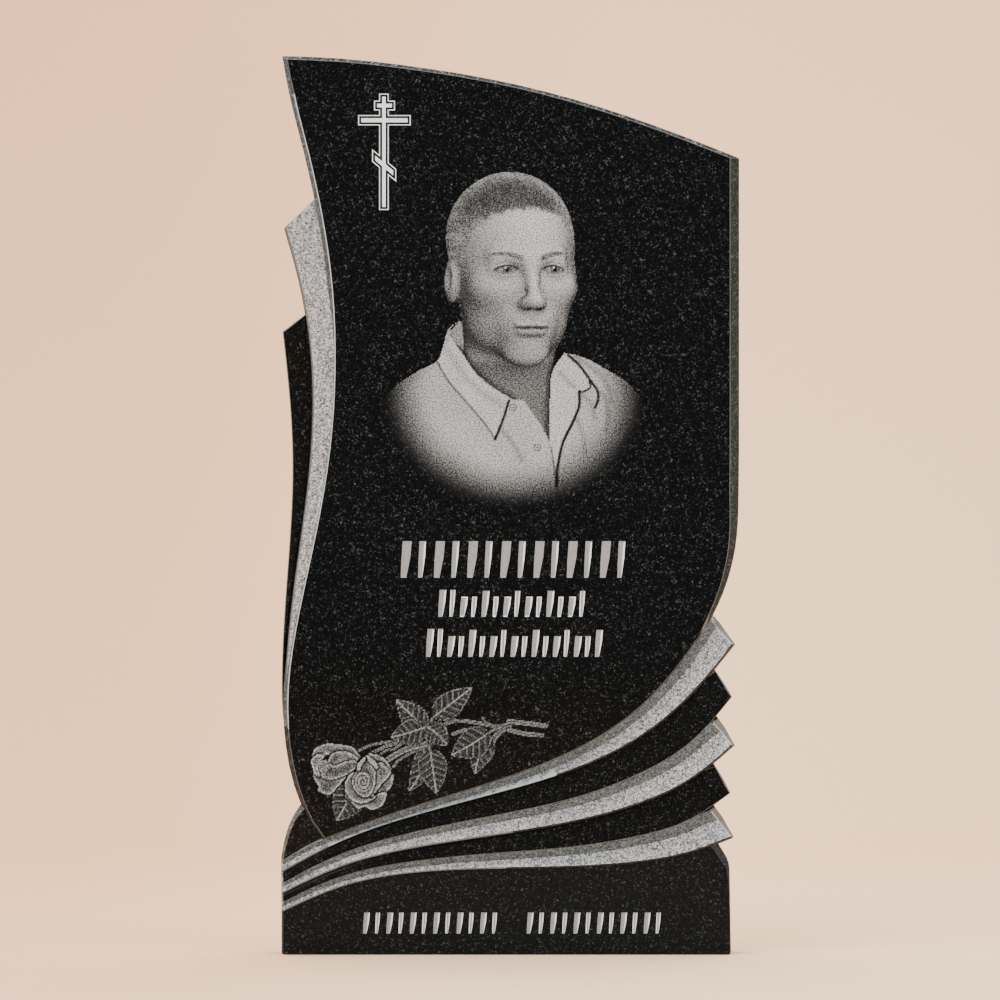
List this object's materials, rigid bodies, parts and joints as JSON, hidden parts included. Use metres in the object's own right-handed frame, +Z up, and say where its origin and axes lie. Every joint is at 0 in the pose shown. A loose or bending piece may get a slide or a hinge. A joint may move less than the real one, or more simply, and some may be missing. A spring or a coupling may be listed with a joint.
{
  "type": "headstone",
  "caption": "Upright dark granite headstone with a swept polished panel and carved folds that fan down its left side and across its foot.",
  "frame": {"origin": "middle of the footprint, on the underside", "axes": "+Z up, the carved front faces -Y, +X to the right as seen from the front"},
  "size_m": [0.611, 0.08, 1.2],
  "materials": {
    "dark_granite": "polished, with the pale folds left as ground stone"
  },
  "bodies": {
    "root": {"headstone": "dark_granite"}
  },
  "joints": []
}
